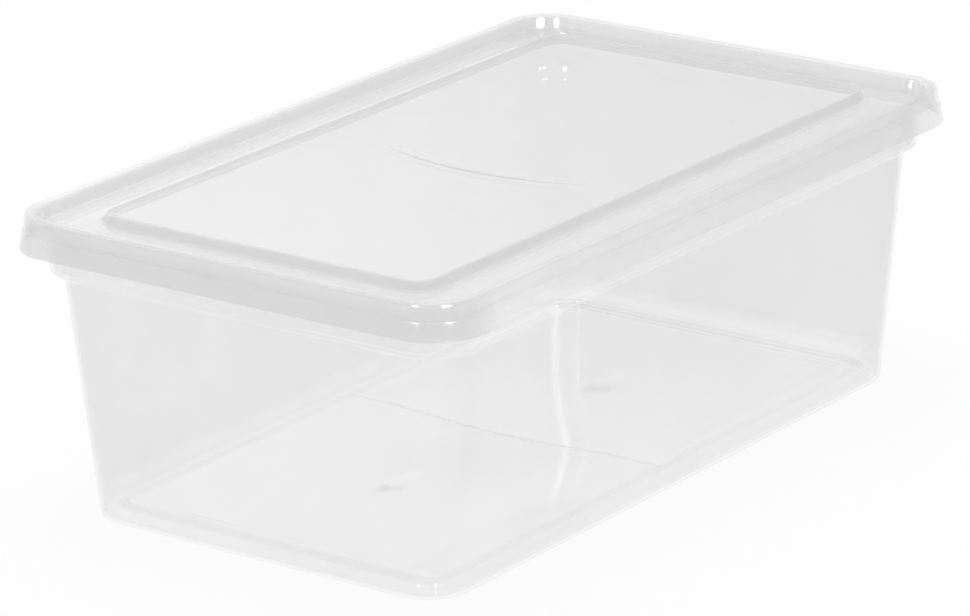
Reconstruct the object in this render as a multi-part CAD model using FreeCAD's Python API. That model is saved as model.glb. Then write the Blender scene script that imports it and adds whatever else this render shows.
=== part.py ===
# A clear storage box with a lift-off lid, both injection moulded in polypropylene.
# Two pieces: the tub, and the lid that drops over the tub's lip.
# Length runs along X, width along Y, and the origin is the middle of the underside.
# Every level of both pieces is a rectangle with round corners, and each surface runs
# straight from one such outline to the next.
import FreeCAD, Part
import math
import os
from collections import namedtuple

# Overall sizes, in millimetres
overall_length = 346.0      # across the foot of the lid's skirt
overall_width = 215.0
overall_height = 123.0      # underside of the tub to the top of the lid's rim
skirt_corner = 22.0         # corner radius at the foot of the skirt

# Lid
lid_wall = 1.2
skirt_height = 14.0
lower_tier = 7.2            # height of the skirt's lower tier
lower_lean = 1.5            # how far that tier leans out towards its foot
skirt_ledge = 0.5           # step between the two tiers
upper_lean = 0.7            # how far the upper tier leans out
rim_width = 4.6             # flat top of the raised rim
rim_round = 1.0             # rounding of the rim's outer edge
rim_slope = 2.2             # how far the rim's inner wall leans in
channel_depth = 4.6         # from the rim's top down to the channel
panel_end_margin = 23.3     # rim's outer edge to the panel's edge, at the short ends
panel_side_margin = 27.6    # the same along the long sides
panel_drop = 0.8            # the panel lies this far below the rim's top
panel_corner = 8.5
riser_slope = 2.6           # how far the panel's riser leans out

# Tub
tub_wall = 1.2
seat_width = 1.4            # how much of the lip the lid's channel rests on
lip_thickness = 1.4
collar_corner = 19.5
collar_height = 19.8        # tub's top down to the shelf
shelf_width = 4.2           # how far the wall steps out into the collar
shelf_rise = 2.5            # the shelf climbs this much on its way out
shelf_corner = 18.5
end_lean = 5.2              # how much each end wall leans in, from the shelf to the foot
side_lean = 7.6             # the same for each side wall
foot_corner = 19.5
foot_round = 3.0            # rounding under the walls, outside
inside_round = 2.0          # rounding between the walls and the floor, inside
floor_thickness = 1.3

# Clearances
lip_gap = 0.6               # lip to the inside of the skirt
stack_gap = 0.5             # raised panel to the recess under a box stacked on it, at the sides
stack_headroom = 0.2        # the same, over the panel's top

Outline = namedtuple("Outline", "length width corner")


def inset(outline, distance):
    """The outline that lies a distance inside another one, all the way round."""
    return Outline(outline.length - 2 * distance, outline.width - 2 * distance,
                   outline.corner - distance)


def between(lower, upper, share):
    """The outline a given share of the way from the lower one to the upper one."""
    return Outline(*(low + (high - low) * share for low, high in zip(lower, upper)))


def loop(outline, height):
    """Closed wire of an outline at a height: four straight sides and four round corners."""
    x = outline.length / 2
    y = outline.width / 2
    radius = outline.corner
    middle = radius * (1 - math.sqrt(0.5))
    stops = []
    for side_x, side_y in ((1, 1), (-1, 1), (-1, -1), (1, -1)):
        on_end = FreeCAD.Vector(side_x * x, side_y * (y - radius), height)
        on_side = FreeCAD.Vector(side_x * (x - radius), side_y * y, height)
        on_corner = FreeCAD.Vector(side_x * (x - middle), side_y * (y - middle), height)
        if side_x == side_y:
            stops.append((on_end, on_corner, on_side))
        else:
            stops.append((on_side, on_corner, on_end))
    edges = []
    for (start, on_corner, end), (following, _, _) in zip(stops, stops[1:] + stops[:1]):
        edges.append(Part.Arc(start, on_corner, end).toShape())
        edges.append(Part.LineSegment(end, following).toShape())
    return Part.Wire(edges)


def block(lower, bottom, upper, top):
    """Solid between an outline at one height and an outline at a greater height."""
    return Part.makeLoft([loop(lower, bottom), loop(upper, top)], True, True)


def round_at(solid, height, radius):
    """Round every edge of a solid that lies flat at the given height."""
    edges = []
    for edge in solid.Edges:
        box = edge.BoundBox
        if abs(box.ZMin - height) < 0.01 and abs(box.ZMax - height) < 0.01:
            edges.append(edge)
    return solid.makeFillet(radius, edges)


# Outlines of the lid, from the foot of the skirt inwards
skirt_foot = Outline(overall_length, overall_width, skirt_corner)
ledge_outside = inset(skirt_foot, lower_lean)
ledge_inside = inset(ledge_outside, skirt_ledge)
rim_outside = inset(ledge_inside, upper_lean)
rim_inside = inset(rim_outside, rim_width)
channel_edge = inset(rim_inside, rim_slope)
panel = Outline(rim_outside.length - 2 * panel_end_margin,
                rim_outside.width - 2 * panel_side_margin, panel_corner)
riser_foot = inset(panel, -riser_slope)

# Heights of the lid
skirt_level = overall_height - skirt_height
ledge_level = skirt_level + lower_tier
channel_level = overall_height - channel_depth
panel_level = overall_height - panel_drop

# The underside of the lid's channel rests on the tub's lip
tub_height = channel_level - lid_wall
shelf_level = tub_height - collar_height

# Outlines of the tub: its mouth lies under the edge of the channel, and the walls follow
mouth = inset(channel_edge, seat_width - lid_wall)
collar = inset(mouth, -tub_wall)._replace(corner=collar_corner)
lip = inset(ledge_inside, lid_wall + lip_gap)
wall_top = inset(collar, shelf_width)._replace(corner=shelf_corner)
wall_foot = Outline(wall_top.length - 2 * end_lean, wall_top.width - 2 * side_lean, foot_corner)

# The raised floor clears the panel of a box below, whose riser it runs along
recess_top = inset(panel, -stack_gap)
recess_mouth = inset(recess_top, -riser_slope)
floor_rise = channel_depth - panel_drop + stack_headroom


def make_tub():
    """Tapered shell with a raised floor, a stepped-out collar and a flat lip."""
    walls = round_at(block(wall_foot, 0, wall_top, shelf_level), 0, foot_round)
    outside = walls.fuse([
        block(wall_top, shelf_level, collar, shelf_level + shelf_rise),
        block(collar, shelf_level + shelf_rise, collar, tub_height),
        block(lip, tub_height - lip_thickness, lip, tub_height),
    ])

    # The hollow follows the outside, one wall in
    floor_edge = inset(between(wall_foot, wall_top, floor_thickness / shelf_level), tub_wall)
    shelf_edge = inset(wall_top, tub_wall)
    collar_inside = inset(collar, tub_wall)
    shelf_top = shelf_level + tub_wall
    well = round_at(block(floor_edge, floor_thickness, shelf_edge, shelf_top),
                    floor_thickness, inside_round)
    hollow = well.fuse([
        block(shelf_edge, shelf_top, collar_inside, shelf_top + shelf_rise),
        block(collar_inside, shelf_top + shelf_rise, collar_inside, tub_height),
    ])

    # The middle of the floor is pushed up: its riser keeps the floor's thickness, so its upper
    # side lies this much further out than the recess, one thickness up
    lean = riser_slope / floor_rise
    margin = floor_thickness * (math.sqrt(1 + lean * lean) - lean)
    recess = block(recess_mouth, 0, recess_top, floor_rise)
    island = block(inset(recess_mouth, -margin), floor_thickness,
                   inset(recess_top, -margin), floor_rise + floor_thickness)
    return outside.cut(hollow.cut(island)).cut(recess)


def make_lid():
    """Shell with a two-tier skirt, a raised hollow rim, a channel and a raised panel."""
    upper = round_at(block(ledge_inside, ledge_level, rim_outside, overall_height),
                     overall_height, rim_round)
    outside = upper.fuse(block(skirt_foot, skirt_level, ledge_outside, ledge_level))

    # The hollow inside the skirt and rim goes round the dish that holds channel and panel
    ledge_under = ledge_level - lid_wall
    under_share = (ledge_under - skirt_level) / lower_tier
    under_ledge = between(skirt_foot, ledge_outside, under_share)
    hollow = block(inset(skirt_foot, lid_wall), skirt_level, inset(under_ledge, lid_wall), ledge_under)
    hollow = hollow.fuse(block(inset(ledge_inside, lid_wall), ledge_under,
                               inset(rim_outside, lid_wall), overall_height - lid_wall))
    dish = block(inset(channel_edge, -lid_wall), tub_height,
                 inset(rim_inside, -lid_wall), overall_height)

    # The channel runs round the panel, which is hollow underneath
    channel = block(channel_edge, channel_level, rim_inside, overall_height)
    raised = block(riser_foot, channel_level, panel, panel_level)
    under_panel = block(inset(riser_foot, lid_wall), tub_height,
                        inset(panel, lid_wall), panel_level - lid_wall)
    return outside.cut(hollow.cut(dish)).cut(channel.cut(raised)).cut(under_panel)


os.makedirs("parts", exist_ok=True)
for name, piece in (("tub", make_tub()), ("lid", make_lid())):
    shape = piece.removeSplitter()
    box = shape.BoundBox
    print(name, "solids", len(shape.Solids), "valid", shape.isValid(),
          "volume", round(shape.Volume), "heights", round(box.ZMin, 3), round(box.ZMax, 3))
    shape.Solids[0].exportStep("parts/" + name + ".step")
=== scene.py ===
import math
import bpy
import numpy as np
from mathutils import Matrix, Vector


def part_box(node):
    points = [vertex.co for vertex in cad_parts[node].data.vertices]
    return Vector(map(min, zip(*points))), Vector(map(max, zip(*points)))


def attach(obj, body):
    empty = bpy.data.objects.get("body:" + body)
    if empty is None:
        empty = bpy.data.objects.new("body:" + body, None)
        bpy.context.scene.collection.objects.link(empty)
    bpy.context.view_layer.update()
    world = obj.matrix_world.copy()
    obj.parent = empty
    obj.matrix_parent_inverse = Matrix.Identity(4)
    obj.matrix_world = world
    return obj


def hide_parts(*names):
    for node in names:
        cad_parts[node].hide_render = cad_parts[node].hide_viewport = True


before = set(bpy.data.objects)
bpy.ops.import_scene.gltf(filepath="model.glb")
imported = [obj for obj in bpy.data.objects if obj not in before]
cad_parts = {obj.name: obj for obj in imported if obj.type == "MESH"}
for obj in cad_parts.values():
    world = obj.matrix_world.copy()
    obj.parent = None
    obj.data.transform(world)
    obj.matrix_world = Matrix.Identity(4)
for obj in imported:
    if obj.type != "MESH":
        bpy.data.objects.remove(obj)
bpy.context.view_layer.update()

scene = bpy.context.scene
scene.view_settings.view_transform = "Standard"

# ---------------------------------------------------------------------------- The view
# A long lens looks down on the box over one of its corners, with a short end on the left and
# a long side on the right. Its place was found from the outlines of the lid and the foot.

view_azimuth = math.radians(-52.755)
view_elevation = math.radians(18.729)
view_roll = math.radians(1.475)
view_distance = 2.1402
aim_right, aim_down = -0.00683, -0.05325      # where the lens points, from the middle of the foot

back = Vector((math.sin(view_azimuth) * math.cos(view_elevation),
               -math.cos(view_azimuth) * math.cos(view_elevation), math.sin(view_elevation)))
level_right = (-back).cross(Vector((0, 0, 1))).normalized()
level_down = (-back).cross(level_right)
right = math.cos(view_roll) * level_right + math.sin(view_roll) * level_down
down = math.cos(view_roll) * level_down - math.sin(view_roll) * level_right

camera = bpy.data.objects.new("view", bpy.data.cameras.new("view"))
camera.data.sensor_width = 36.0
camera.data.lens = 199.71
place = Matrix((right, -down, back)).transposed().to_4x4()
place.translation = back * view_distance + right * aim_right + down * aim_down
camera.matrix_world = place
scene.collection.objects.link(camera)
scene.camera = camera

# ---------------------------------------------------------------------------- Table and light
# The box stands on a plain white table in a pale room. A large soft lamp over it gives the light,
# and three smaller panels round the room are there only to be mirrored in the plastic.


def linear(code):
    """Linear colour of an sRGB hex code such as F4F4F2."""
    parts = [int(code[i:i + 2], 16) / 255 for i in (0, 2, 4)]
    return [p / 12.92 if p <= 0.04045 else ((p + 0.055) / 1.055) ** 2.4 for p in parts] + [1.0]


def add(tree, kind, inputs=None, **settings):
    """Adds a node, gives it its settings, and fills or links its inputs by name or number."""
    made = tree.nodes.new(kind)
    for name, value in settings.items():
        setattr(made, name, value)
    for name, value in (inputs or {}).items():
        if isinstance(value, bpy.types.NodeSocket):
            tree.links.new(value, made.inputs[name])
        else:
            made.inputs[name].default_value = value
    return made


def seen_or_mirrored(tree):
    """1 for rays that see a surface straight, mirrored or through the plastic, 0 for lighting."""
    path = add(tree, "ShaderNodeLightPath").outputs
    seen = add(tree, "ShaderNodeMath", {0: path["Is Camera Ray"], 1: path["Is Transmission Ray"]},
               operation="MAXIMUM")
    either = add(tree, "ShaderNodeMath", {0: seen.outputs[0], 1: path["Is Glossy Ray"]},
                 operation="MAXIMUM")
    return either.outputs[0]


def pale_room():
    """The room's even soft light, plain white where it is seen.

    The plastic mirrors a room that is shaded low down and bright overhead. The step between them
    lies about 50 degrees up at the ends of the box and comes down to the table on its far side.
    """
    room_light = 0.79
    low_shade, high_glow = 0.77, 1.13
    world = bpy.data.worlds.new("pale_room")
    world.use_nodes = True
    tree = world.node_tree
    tree.nodes.clear()
    way = add(tree, "ShaderNodeTexCoord").outputs["Generated"]
    part = add(tree, "ShaderNodeSeparateXYZ", {0: way})
    rise = add(tree, "ShaderNodeMath", {0: part.outputs["Y"], 1: 0.8, 2: part.outputs["Z"]},
               operation="MULTIPLY_ADD")
    backdrop = add(tree, "ShaderNodeMapRange",
                   {"Value": rise.outputs[0], "From Min": 0.72, "From Max": 0.84,
                    "To Min": low_shade, "To Max": high_glow})
    white = linear("FFFFFF")
    room = add(tree, "ShaderNodeBackground", {"Color": white, "Strength": room_light})
    mirrored = add(tree, "ShaderNodeBackground", {"Color": white, "Strength": backdrop.outputs[0]})
    seen = add(tree, "ShaderNodeBackground", {"Color": white, "Strength": 1.0})
    path = add(tree, "ShaderNodeLightPath").outputs
    lit = add(tree, "ShaderNodeMixShader",
              {0: path["Is Glossy Ray"], 1: room.outputs[0], 2: mirrored.outputs[0]})
    mixed = add(tree, "ShaderNodeMixShader",
                {0: path["Is Camera Ray"], 1: lit.outputs[0], 2: seen.outputs[0]})
    add(tree, "ShaderNodeOutputWorld", {"Surface": mixed.outputs[0]})
    return world


def white_laminate():
    """White table laminate: matt, and kept white where it is seen, under a faint shadow."""
    kept_white = 0.9
    material = bpy.data.materials.new("white_laminate")
    material.use_nodes = True
    tree = material.node_tree
    tree.nodes.clear()
    matt = add(tree, "ShaderNodeBsdfDiffuse", {"Color": linear("F4F4F4")})
    white = add(tree, "ShaderNodeEmission", {"Color": linear("FFFFFF"), "Strength": 1.0})
    share = add(tree, "ShaderNodeMath", {0: seen_or_mirrored(tree), 1: kept_white},
                operation="MULTIPLY")
    mixed = add(tree, "ShaderNodeMixShader",
                {0: share.outputs[0], 1: matt.outputs[0], 2: white.outputs[0]})
    add(tree, "ShaderNodeOutputMaterial", {"Surface": mixed.outputs[0]})
    return material


reach = 4.0
table_mesh = bpy.data.meshes.new("table")
table_corners = [(-reach, -reach, 0), (reach, -reach, 0), (reach, reach, 0), (-reach, reach, 0)]
table_mesh.from_pydata(table_corners, [], [(0, 1, 2, 3)])
table = bpy.data.objects.new("table", table_mesh)
table_mesh.materials.append(white_laminate())
scene.collection.objects.link(table)
scene.world = pale_room()

# Each lamp: name, place, width and height of its soft panel, and power
lamps = (
    ("lamp_overhead", (0.1, 0.2, 1.7), 1.5, 1.1, 9.0),
    ("panel_left", (-2.1, 0.2, 1.2), 0.35, 0.9, 70.0),
    ("panel_right", (-1.05, -1.82, 1.3), 0.8, 0.8, 150.0),
    ("panel_behind", (-1.45, 1.75, 1.15), 0.3, 0.4, 9.0),
)
for name, spot, width, height, power in lamps:
    lamp = bpy.data.lights.new(name, "AREA")
    lamp.shape = "RECTANGLE"
    lamp.size = width
    lamp.size_y = height
    lamp.energy = power
    holder = bpy.data.objects.new(name, lamp)
    holder.location = spot
    holder.rotation_euler = (-Vector(spot)).to_track_quat("-Z", "Y").to_euler()
    holder.visible_camera = False
    holder.visible_diffuse = name == "lamp_overhead"
    holder.visible_glossy = name != "lamp_overhead"
    scene.collection.objects.link(holder)

# A line of sight crosses up to eight walls, which is sixteen surfaces
scene.cycles.caustics_reflective = False
scene.cycles.caustics_refractive = False
scene.cycles.max_bounces = 16
scene.cycles.transparent_max_bounces = 40

# ---------------------------------------------------------------------------- Tub
# The open box: one shell of clear polypropylene with tapered walls, a raised middle to its floor,
# a collar that steps out near the top and a flat lip. It is injection moulded in one shot, through
# two gates under the floor, and a fine weld line crosses the floor where the two flows met.

mm = 0.001


def rounded_profile(stations, steps=7):
    """Profile through the stations, with a parabola in place of each corner.

    A station is half length, half width, corner radius, height, rounding and the milkiness of the
    run after it. The parabola leaves and joins the straight runs one rounding away from its
    station, or at two fifths of a short run, and the milkiness changes over along it. Extra
    points near both ends of each run keep its shading flat.
    """
    size = stations[:, :4]
    milk = stations[:-1, 5]
    runs = np.diff(size, axis=0)
    lengths = np.hypot(np.abs(runs[:, :2]).max(axis=1), runs[:, 3])
    reach = np.minimum(stations[1:-1, 4], 0.4 * np.minimum(lengths[:-1], lengths[1:]))
    before = -runs[:-1] * (reach / lengths[:-1])[:, None]
    after = runs[1:] * (reach / lengths[1:])[:, None]
    t = np.linspace(0, 1, steps)[None, :, None]
    turns = size[1:-1, None] + (1 - t) ** 2 * before[:, None] + t ** 2 * after[:, None]
    blend = milk[:-1, None, None] + t * np.diff(milk)[:, None, None]
    turns = np.concatenate([turns, blend], axis=2)
    starts = np.vstack([size[:1], size[1:-1] + after])
    ends = np.vstack([size[1:-1] + before, size[-1:]])
    share = np.array([0.03, 0.1, 0.3, 0.5, 0.7, 0.9, 0.97])[None, :, None]
    straights = starts[:, None] + share * (ends - starts)[:, None]
    even = np.repeat(milk[:, None, None], share.size, axis=1)
    straights = np.concatenate([straights, even], axis=2)
    first, last = np.append(size[0], milk[0]), np.append(size[-1], milk[-1])
    middle = np.concatenate([straights[:-1], turns], axis=1).reshape(-1, 5)
    return np.vstack([first, middle, straights[-1], last])


def closed_shell(profile, side_marks, end_marks, corner_steps=12):
    """Points, four-sided faces and milkiness of a profile carried round a rounded rectangle.

    Each point of the profile draws a level loop: four straight sides and four quarter circles, at
    its own half length, half width, corner radius and height. The marks, from -1 to 1, say where
    the loops' points lie along the long sides and across the ends. The first and last loops are
    closed by flat grids, whose columns run straight across between facing points of the loop.
    """
    turn = np.linspace(0, math.pi / 2, corner_steps + 1)[:-1]
    ends, sides = end_marks[:-1], side_marks[:-1]
    ends_back, sides_back = end_marks[:0:-1], side_marks[:0:-1]
    end, side, bend = np.ones(len(ends)), np.ones(len(sides)), np.ones(len(turn))
    middle_x = np.concatenate([end, bend, sides_back, -bend, -end, -bend, sides, bend])
    middle_y = np.concatenate([ends, bend, side, bend, ends_back, -bend, -side, -bend])
    out_x = np.concatenate([end, np.cos(turn), 0 * side, -np.sin(turn),
                            -end, -np.cos(turn), 0 * side, np.sin(turn)])
    out_y = np.concatenate([0 * end, np.sin(turn), side, np.cos(turn),
                            0 * end, -np.sin(turn), -side, -np.cos(turn)])
    length, width, corner, height, milk = profile.T[:, :, None]
    loops = np.stack([middle_x * (length - corner) + corner * out_x,
                      middle_y * (width - corner) + corner * out_y,
                      height + 0 * middle_x], axis=2)
    rings, count = loops.shape[:2]
    points = loops.reshape(-1, 3)

    here = np.arange(rings * count).reshape(rings, count)
    beside = np.roll(here, -1, axis=1)
    faces = np.stack([here[:-1], here[1:], beside[1:], beside[:-1]], axis=2).reshape(-1, 4)

    # Grid numbers of a cap: row by row across the box, with its rim on the loop's own points
    rows = len(end_marks)
    columns = len(side_marks) + 2 * corner_steps
    inner_count = (columns - 2) * (rows - 2)
    share = (end_marks[1:-1, None] + 1) / 2
    parts, added, milky = [faces], [points], [np.repeat(milk.ravel(), count)]
    total = len(points)
    for ring, flip in ((0, True), (rings - 1, False)):
        grid = np.zeros((columns, rows), dtype=int)
        grid[0] = np.arange(rows)
        grid[:, -1] = rows - 1 + np.arange(columns)
        grid[-1] = (rows - 1 + columns - 1 + np.arange(rows))[::-1]
        grid[:, 0] = ((2 * (rows - 1) + columns - 1 + np.arange(columns)) % count)[::-1]
        grid += ring * count
        grid[1:-1, 1:-1] = total + np.arange(inner_count).reshape(columns - 2, rows - 2)
        low, high = points[grid[1:-1, 0]], points[grid[1:-1, -1]]
        added.append((low[:, None] + share[None] * (high - low)[:, None]).reshape(-1, 3))
        milky.append(np.full(inner_count, milk[ring, 0]))
        total += inner_count
        quads = np.stack([grid[:-1, :-1], grid[1:, :-1], grid[1:, 1:], grid[:-1, 1:]], axis=2)
        quads = quads.reshape(-1, 4)
        parts.append(quads[:, ::-1] if flip else quads)
    return np.vstack(added), np.vstack(parts), np.concatenate(milky)


def moulding(name, points, faces, milk, strain, scuff):
    """Smooth mesh of points, in millimetres, and four-sided faces.

    Each point also carries three numbers that the plastic reads: how milky it is, how far it was
    strained, and how far its skin is scuffed. The milkiness and the strain also carry painted shade.
    """
    mesh = bpy.data.meshes.new(name)
    mesh.vertices.add(len(points))
    mesh.vertices.foreach_set("co", (points * mm).ravel())
    mesh.loops.add(faces.size)
    mesh.loops.foreach_set("vertex_index", faces.ravel())
    mesh.polygons.add(len(faces))
    mesh.polygons.foreach_set("loop_start", np.arange(len(faces)) * 4)
    mesh.update(calc_edges=True)
    mesh.validate()
    mesh.polygons.foreach_set("use_smooth", np.ones(len(faces), dtype=bool))
    for kind, values in (("milk", milk), ("strain", strain), ("scuff", scuff)):
        mesh.attributes.new(kind, "FLOAT", "POINT").data.foreach_set("value", values)
    return mesh


def inset(outline, distance):
    """Outline that lies a distance inside another: half length, half width and corner radius."""
    return np.asarray(outline) - distance


def outside_of(points, outline):
    """How far outside an outline each point lies, measured on the level; inside it's negative."""
    past = np.abs(points[:, :2]) - (np.asarray(outline[:2]) - outline[2])
    return np.hypot(*np.maximum(past, 0).T) + np.minimum(past.max(axis=1), 0) - outline[2]


def ramp(value, start, end):
    """0 up to the start, 1 from the end on, and a straight climb between them."""
    return np.clip((value - start) / (end - start), 0, 1)


def by_side(points, near_end, near_side, far_end, far_side):
    """A number for each point by the side of the box it lies on.

    The near end is at -X and the near side at -Y. An end's number blends into a side's round the
    corner, between 154 and 140 mm from the middle of the box.
    """
    x, y, _ = points.T
    end = np.where(x < 0, near_end, far_end)
    side = np.where(y < 0, near_side, far_side)
    return end + ramp(np.abs(x), 154, 140) * (side - end)


def station(outline, height, rounding, milk):
    """One corner of a profile: an outline, its height, its rounding and the next run's milkiness."""
    return np.array([*outline, height, rounding, milk])


def bunched(count):
    """Marks from -1 to 1, closer together towards both ends, as the sine of even steps."""
    return np.sin(np.linspace(-1, 1, count) * math.pi / 2)


# The tub fits under the lid, so the lid's outlines come first, from the foot of its skirt inwards
wall = 1.2
lower_lean = 1.5
skirt_ledge = 0.5
upper_lean = 0.7
rim_width = 4.6
rim_slope = 2.2
panel_end_margin = 23.3
panel_side_margin = 27.6
riser_slope = 2.6
skirt_corner, panel_corner = 22.0, 8.5

lid_low, lid_high = (np.array(corner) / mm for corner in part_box("lid"))
tub_high = np.array(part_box("tub")[1]) / mm
skirt_foot = np.array([lid_high[0], lid_high[1], skirt_corner])
ledge_outside = inset(skirt_foot, lower_lean)
ledge_inside = inset(ledge_outside, skirt_ledge)
rim_outside = inset(ledge_inside, upper_lean)
rim_inside = inset(rim_outside, rim_width)
channel_edge = inset(rim_inside, rim_slope)
panel = np.array([rim_outside[0] - panel_end_margin, rim_outside[1] - panel_side_margin, panel_corner])
riser_foot = inset(panel, -riser_slope)

lip_gap = 0.1                  # a hairline of air between the lip and the lid
lip_thickness = 1.3
lip_corner, collar_corner, shelf_corner, foot_corner = 18.2, 19.5, 18.5, 19.5
collar_height = 19.8
collar_margin = 1.0            # the collar lies this far outside the edge of the lid's channel
shelf_width = 4.2
shelf_rise = 2.5
end_lean, side_lean = 5.2, 7.6
floor_thickness = 1.3
floor_rise = 4.0
stack_gap = 0.5                # the recess clears the panel of a box below by this much
island_margin = 0.71           # the island's upper side lies this far outside the recess
# The island's milky edge is a band of painted shade, wide on the near end
near_band, other_band = 7.5, 3.4   # how wide the island's milky edge is, on the near end and elsewhere
floor_grid_margin = 9.0        # from the island's edge to the flat grid inside it

lip = np.array([tub_high[0], tub_high[1], lip_corner])
lip_top = tub_high[2] - lip_gap
shelf_level = tub_high[2] - collar_height
collar = np.array([channel_edge[0] + collar_margin, channel_edge[1] + collar_margin, collar_corner])
wall_top = np.array([collar[0] - shelf_width, collar[1] - shelf_width, shelf_corner])
wall_foot = np.array([wall_top[0] - end_lean, wall_top[1] - side_lean, foot_corner])
recess_top = inset(panel, -stack_gap)
recess_mouth = inset(recess_top, -riser_slope)
island_level = floor_rise + floor_thickness

# Milkiness of each part: about 1 is the haze of a plain wall, and the floor is the clearest. The
# island's milky edge band is painted shade.
wall_milk, edge_painted_shade, collar_milk, lip_milk, foot_milk, floor_milk = 1.1, 1.8, 1.05, 0.9, 0.3, 0.12

tub_stations = np.array([
    station(inset(recess_top, floor_grid_margin), island_level, 0, floor_milk),
    station(inset(recess_top, near_band), island_level, 1.0, edge_painted_shade),
    station(inset(recess_top, -island_margin), island_level, 1.0, floor_milk),
    station(inset(recess_mouth, -island_margin), floor_thickness, 0.6, foot_milk),
    station(inset(wall_foot, wall), floor_thickness, 2.2, wall_milk),
    station(inset(wall_top, wall), shelf_level + wall, 1.0, collar_milk),
    station(inset(collar, wall), shelf_level + wall + shelf_rise, 1.4, collar_milk),
    station(inset(collar, wall), lip_top, 0.6, lip_milk),
    station(lip, lip_top, 0.5, lip_milk),
    station(lip, lip_top - lip_thickness, 0.5, lip_milk),
    station(collar, lip_top - lip_thickness, 0.5, collar_milk),
    station(collar, shelf_level + shelf_rise, 1.4, collar_milk),
    station(wall_top, shelf_level, 1.0, wall_milk),
    station(wall_foot, 0, 3.2, foot_milk),
    station(recess_mouth, 0, 0.7, floor_milk),
    station(recess_top, floor_rise, 0.8, edge_painted_shade),
    station(inset(recess_top, near_band), floor_rise, 1.0, floor_milk),
    station(inset(recess_top, floor_grid_margin), floor_rise, 0, floor_milk),
])

# Points along the sides and ends: close together at the corners, the weld line and the gates
straight_x, straight_y = panel[0] - panel[2], panel[1] - panel[2]
gate_x = 69.0
weld_marks = np.array([-2.8, -1.9, -1.3, -0.9, -0.5, 0.5, 0.9, 1.3, 1.9, 2.8])
gate_marks = np.array([-5.2, -4.5, -3.8, -3.1, -1.6, 0, 1.6, 3.1, 3.8, 4.5, 5.2])
floor_marks = np.concatenate([weld_marks, gate_marks - gate_x, gate_marks + gate_x])
tub_side_marks = np.sort(np.concatenate([bunched(25), floor_marks / straight_x]))
tub_end_marks = np.sort(np.concatenate([bunched(20), gate_marks / straight_y]))
tub_profile = rounded_profile(tub_stations)
tub_points, tub_faces, tub_milk_and_shade = closed_shell(tub_profile, tub_side_marks, tub_end_marks)

# The middle of the floor sags, a fine groove marks the weld line, and a round well under each
# gate goes down towards the table
sag_depth, sag_reach = 2.0, 45.0
weld_depth, weld_width = 0.04, 1.1
gate_depth, gate_radius, gate_flat = 2.8, 5.0, 3.4
x, y, z = tub_points.T
over_floor = (z > 3.5) & (z < 5.6) & (outside_of(tub_points, recess_top) < -0.5)
upper_side = over_floor & (z > floor_rise + 0.5)
across = ramp(np.abs(y), 60, 8)
sag = sag_depth * across ** 2 * (3 - 2 * across) * np.exp(-(x / sag_reach) ** 2)
weld = np.exp(-(x / weld_width) ** 2) * np.clip(1 - (y / recess_top[1]) ** 2, 0, 1) ** 0.5
gate = ramp(np.hypot(np.abs(x) - gate_x, y), gate_radius, gate_flat)
tub_points[over_floor, 2] -= (sag + weld_depth * weld + gate_depth * gate)[over_floor]

# Painted shade and light by side: the far walls are milkier, so greyer, and so is the upper half
# of the near side. The collar is milkier on the far sides too, apart from its top, and clearer, so
# lighter, on the near side.
on_collar = z > shelf_level - 0.5
on_walls = (z > 8) & ~on_collar
near_wall = 0.92 + 0.5 * ramp(z, 30, 60)
tub_milk_and_shade[on_walls] *= by_side(tub_points, 1.0, near_wall, 1.6, 1.35)[on_walls]
near_collar = 1 - 0.4 * ramp(y, 10, 70)
tub_milk_and_shade[on_collar] *= by_side(tub_points, near_collar, 0.6, 1.68, 1.41)[on_collar]
under_lip = ramp(z, 115, 109)
top_end, top_side = np.maximum(under_lip, 0.55), np.maximum(under_lip, 0.3)
tub_milk_and_shade[on_collar] *= by_side(tub_points, 1.0, 1.0, top_end, top_side)[on_collar]

# The floor is milkier towards the far end, painted shade. The island's edge is milky where it faces
# the lens, in a wide band on the near end, and so is the foot of its riser at the far end: painted
# shade of the dark bands along the riser.
from_edge = outside_of(tub_points, recess_top)
on_floor = (z < 6) & (outside_of(tub_points, recess_mouth) < -near_band - 3)
tub_milk_and_shade[on_floor] += 0.35 * ramp(x, 10, 80)[on_floor]
on_edge = (z > floor_rise - 1) & (z < 7) & (np.abs(from_edge) < near_band + 0.5)
band = by_side(tub_points, near_band, other_band, other_band, other_band)
in_band = ramp(from_edge, -band, 1.5 - band)
tub_milk_and_shade[on_edge] = (floor_milk + (tub_milk_and_shade - floor_milk) * in_band)[on_edge]
tub_milk_and_shade[on_edge] *= np.where((x < -140) | (y < -70), 1.0, 0.4)[on_edge]
# The island's riser is milkier on the near side and at the far end, painted shade
on_riser = (z < 5.2) & (from_edge > -0.5) & (from_edge < 3.6)
tub_milk_and_shade[on_riser] += by_side(tub_points, 0.0, 0.3, 0.5, 0.0)[on_riser]
by_riser = (z < 1.6) & (x > 145)
riser_foot_painted_shade = 3.5 * np.exp(-((from_edge - 3.6) / 1.8) ** 2) * np.maximum(ramp(y, -20, 60), 0.2)
tub_milk_and_shade[by_riser] += riser_foot_painted_shade[by_riser]


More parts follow.
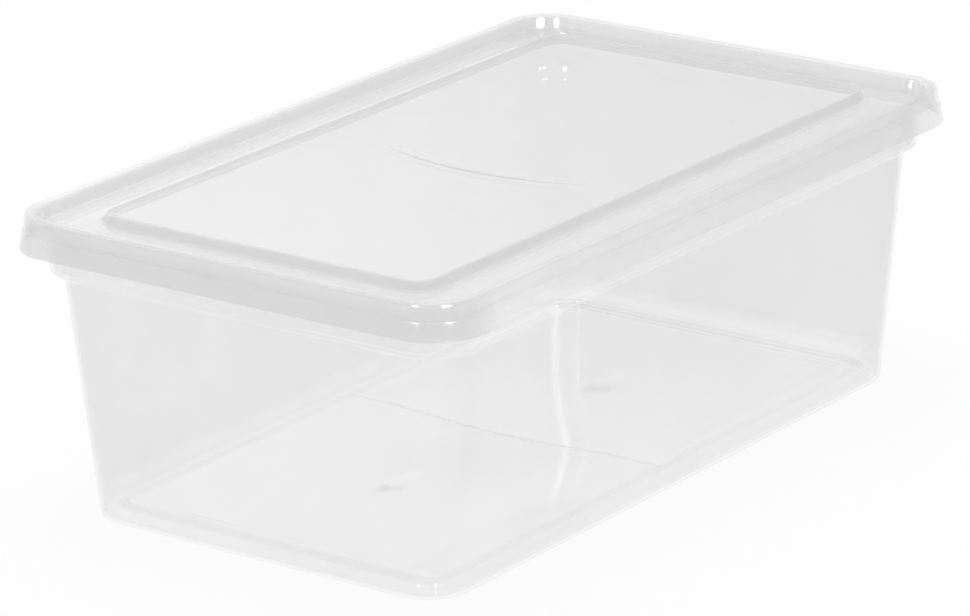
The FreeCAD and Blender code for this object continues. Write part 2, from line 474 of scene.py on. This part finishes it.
def clear_polypropylene(name, gloss):
    """Clear polypropylene, injection moulded in a polished tool.

    Walls this thin don't bend what is seen through them, so each surface lets light straight
    through. Fine crystals in the plastic scatter a share of it, which gives a white milkiness
    that is denser where the attribute milk is high, and strained lines are denser and duller.
    Where milkiness and strain are raised by side and on the risers, they paint shade.
    The smooth skin mirrors the room by the reflectance of a refractive index of 1.49: 4% of the
    light that meets it head on, and more at low angles. Scuffed skin has lost that shine.
    """
    clear_share = 0.86         # passes one surface where the milkiness is 1
    strain_milk = 8.0          # what full strain adds to the milkiness
    head_on = 0.04
    flow_size = 45 * mm        # cloudy patches left by the flow of the melt
    ripple_size, ripple_depth = 30 * mm, 0.1 * mm
    material = bpy.data.materials.new(name)
    material.use_nodes = True
    tree = material.node_tree
    tree.nodes.clear()
    place = add(tree, "ShaderNodeTexCoord").outputs["Object"]
    milk = add(tree, "ShaderNodeAttribute", attribute_name="milk").outputs["Fac"]
    strain = add(tree, "ShaderNodeAttribute", attribute_name="strain").outputs["Fac"]
    scuff = add(tree, "ShaderNodeAttribute", attribute_name="scuff").outputs["Fac"]
    flow = add(tree, "ShaderNodeTexNoise", {"Vector": place, "Scale": 1 / flow_size, "Detail": 2.0})
    uneven = add(tree, "ShaderNodeMapRange",
                 {"Value": flow.outputs[0], "From Min": 0.3, "From Max": 0.7,
                  "To Min": 0.88, "To Max": 1.12})
    density = add(tree, "ShaderNodeMath", {0: milk, 1: uneven.outputs[0]}, operation="MULTIPLY")
    denser = add(tree, "ShaderNodeMath", {0: strain, 1: strain_milk, 2: density.outputs[0]},
                 operation="MULTIPLY_ADD")
    clearness = add(tree, "ShaderNodeMath", {0: clear_share, 1: denser.outputs[0]}, operation="POWER")

    # In a colour mix, inputs 6 and 7 are the two colours and output 2 is the mixed one
    white = add(tree, "ShaderNodeMix", {0: strain, 6: linear("F6F6F6"), 7: linear("C0C0C0")},
                data_type="RGBA")
    front = add(tree, "ShaderNodeBsdfDiffuse", {"Color": white.outputs[2]})
    through = add(tree, "ShaderNodeBsdfTranslucent", {"Color": white.outputs[2]})
    haze = add(tree, "ShaderNodeMixShader", {0: 0.5, 1: front.outputs[0], 2: through.outputs[0]})
    passing = add(tree, "ShaderNodeBsdfTransparent", {"Color": linear("FFFFFF")})
    body = add(tree, "ShaderNodeMixShader",
               {0: clearness.outputs[0], 1: haze.outputs[0], 2: passing.outputs[0]})

    ripple = add(tree, "ShaderNodeTexNoise", {"Vector": place, "Scale": 1 / ripple_size, "Detail": 1.0})
    relief = add(tree, "ShaderNodeBump",
                 {"Height": ripple.outputs[0], "Distance": ripple_depth, "Strength": 0.5})
    mirror = add(tree, "ShaderNodeBsdfGlossy",
                 {"Color": linear("FFFFFF"), "Roughness": gloss, "Normal": relief.outputs[0]})
    slant = add(tree, "ShaderNodeLayerWeight", {"Blend": 0.5})
    steep = add(tree, "ShaderNodeMath", {0: slant.outputs["Facing"], 1: 5.0}, operation="POWER")
    share = add(tree, "ShaderNodeMath", {0: steep.outputs[0], 1: 1 - head_on, 2: head_on},
                operation="MULTIPLY_ADD")
    whole = add(tree, "ShaderNodeMath", {0: 1.0, 1: scuff}, operation="SUBTRACT")
    shine = add(tree, "ShaderNodeMath", {0: share.outputs[0], 1: whole.outputs[0]},
                operation="MULTIPLY")
    mixed = add(tree, "ShaderNodeMixShader",
                {0: shine.outputs[0], 1: body.outputs[0], 2: mirror.outputs[0]})
    add(tree, "ShaderNodeOutputMaterial", {"Surface": mixed.outputs[0]})
    return material


# The weld line and the gates are strained, and the foot is scuffed from standing and sliding
tub_strain = np.where(upper_side, 0.5 * weld + 0.05 * gate, 0.0)
tub_scuff = 0.9 * ramp(z, 7, 4) * ramp(from_edge, -4.5, -3.5)
tub_mesh = moulding("tub_shell", tub_points, tub_faces, tub_milk_and_shade, tub_strain, tub_scuff)
tub_mesh.materials.append(clear_polypropylene("clear_polypropylene_tub", gloss=0.035))
tub = bpy.data.objects.new("tub_shell", tub_mesh)
scene.collection.objects.link(tub)
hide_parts("tub")
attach(tub, "tub")

# ---------------------------------------------------------------------------- Lid
# The lift-off cover: one thin moulding of the same plastic, with a raised hollow rim, a channel
# round a raised panel, and a two-tier skirt that drops over the tub's lip.

lower_tier = 7.2
channel_depth = 4.6
panel_drop = 0.8
panel_grid_margin = 4.6        # from the panel's edge to the flat grid inside it

rim_level = lid_high[2]
skirt_level = lid_low[2]
ledge_level = skirt_level + lower_tier
channel_level = rim_level - channel_depth
panel_level = rim_level - panel_drop
under_ledge = skirt_foot + (ledge_outside - skirt_foot) * (1 - wall / lower_tier)
under_rim = channel_edge + wall + (rim_inside - channel_edge) * (1 - wall / channel_depth)

# Light crosses more plastic in the steep and folded parts, so they are the milkiest; their extra
# milkiness also paints the shade of the dark bands on the risers and the skirt
panel_milk, riser_milk_and_shade, channel_milk, rim_milk, rim_top_milk, skirt_milk_and_shade = 1.12, 9.0, 1.2, 1.6, 1.3, 2.4

lid_stations = np.array([
    station(inset(panel, panel_grid_margin), panel_level, 0, panel_milk),
    station(panel, panel_level, 1.0, riser_milk_and_shade),
    station(riser_foot, channel_level, 1.2, channel_milk),
    station(channel_edge, channel_level, 1.4, rim_milk),
    station(rim_inside, rim_level, 1.0, rim_top_milk),
    station(rim_outside, rim_level, 1.6, skirt_milk_and_shade),
    station(ledge_inside, ledge_level, 0.5, skirt_milk_and_shade),
    station(ledge_outside, ledge_level, 0.4, skirt_milk_and_shade),
    station(skirt_foot, skirt_level, 0.5, skirt_milk_and_shade),
    station(inset(skirt_foot, wall), skirt_level, 0.5, skirt_milk_and_shade),
    station(inset(under_ledge, wall), ledge_level - wall, 0.6, skirt_milk_and_shade),
    station(inset(ledge_inside, wall), ledge_level - wall, 0.4, skirt_milk_and_shade),
    station(inset(rim_outside, wall), rim_level - wall, 0.9, rim_top_milk),
    station(under_rim, rim_level - wall, 0.7, rim_milk),
    station(inset(channel_edge, -wall), channel_level - wall, 1.0, channel_milk),
    station(inset(riser_foot, wall), channel_level - wall, 0.8, riser_milk_and_shade),
    station(inset(panel, wall), panel_level - wall, 0.9, panel_milk),
    station(inset(panel, wall + panel_grid_margin), panel_level - wall, 0, panel_milk),
])

# A strained crease, 94 mm long, curves across the panel. It bows 8 mm at 44 mm from its middle,
# and the grid's columns drift with it
crease_x, crease_y, crease_reach = -29.4, -10.0, 47.0
crease_width, crease_depth = 0.95, 0.15
crease_bow, bow_reach = 8.0, 44.0
crease_marks = np.array([-2.8, -1.9, -1.3, -0.8, -0.4, 0, 0.4, 0.8, 1.3, 1.9, 2.8])
lid_side_marks = np.sort(np.concatenate([bunched(25), (crease_x + crease_marks) / straight_x]))
lid_profile = rounded_profile(lid_stations)
lid_points, lid_faces, lid_milk_and_shade = closed_shell(lid_profile, lid_side_marks, bunched(41))
x, y, z = lid_points.T
on_panel = z > panel_level - 2
on_panel &= np.abs(x) < panel[0] - panel_grid_margin
on_panel &= np.abs(y) < panel[1] - panel_grid_margin - 0.1
along = (y - crease_y) / crease_reach
bow = crease_bow * (along * crease_reach / bow_reach) ** 2
inwards = ramp(np.abs(y), panel[1], panel[1] - 20)
drift = bow * np.exp(-((x - crease_x) / 25) ** 2) * inwards ** 2 * (3 - 2 * inwards)
lid_points[on_panel, 0] += drift[on_panel]
from_crease = lid_points[:, 0] - crease_x - bow
crease = np.exp(-(from_crease / crease_width) ** 2) * np.clip(1 - along ** 2, 0, 1) ** 0.7
lid_points[on_panel, 2] -= crease_depth * crease[on_panel]

# Painted light and shade by side: the skirt is clearest on the far walls, and the rim's inner wall is
# milkier there
x, y, z = lid_points.T
from_rim = outside_of(lid_points, rim_inside)
on_skirt = from_rim > 3.0
near_skirt_end, near_skirt_side = 1 + 0.4 * ramp(y, 50, 90), 0.5 + x / 400
lid_milk_and_shade[on_skirt] *= by_side(lid_points, near_skirt_end, near_skirt_side, 0.8, 0.3)[on_skirt]
on_rim = (from_rim > -2.4) & (from_rim < 0.9) & (z > channel_level - 0.6)
lid_milk_and_shade[on_rim] *= by_side(lid_points, 1.0, 0.7, 1.3, 2.5)[on_rim]

# The panel's riser on the far side carries a little strain, which is painted shade that darkens it
from_panel = outside_of(lid_points, panel)
on_far_riser = (from_panel > 0.3) & (from_panel < 2.4) & (y > panel[1] - 1)
on_crease = on_panel & (z > panel_level - wall / 2)
lid_strain_and_shade = np.where(on_crease, crease, 0.0) + np.where(on_far_riser, 0.25, 0.0)
lid_scuff = np.zeros(len(lid_points))
lid_mesh = moulding("lid_shell", lid_points, lid_faces, lid_milk_and_shade, lid_strain_and_shade, lid_scuff)
lid_mesh.materials.append(clear_polypropylene("clear_polypropylene_lid", gloss=0.08))
lid = bpy.data.objects.new("lid_shell", lid_mesh)
scene.collection.objects.link(lid)
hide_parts("lid")
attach(lid, "lid")
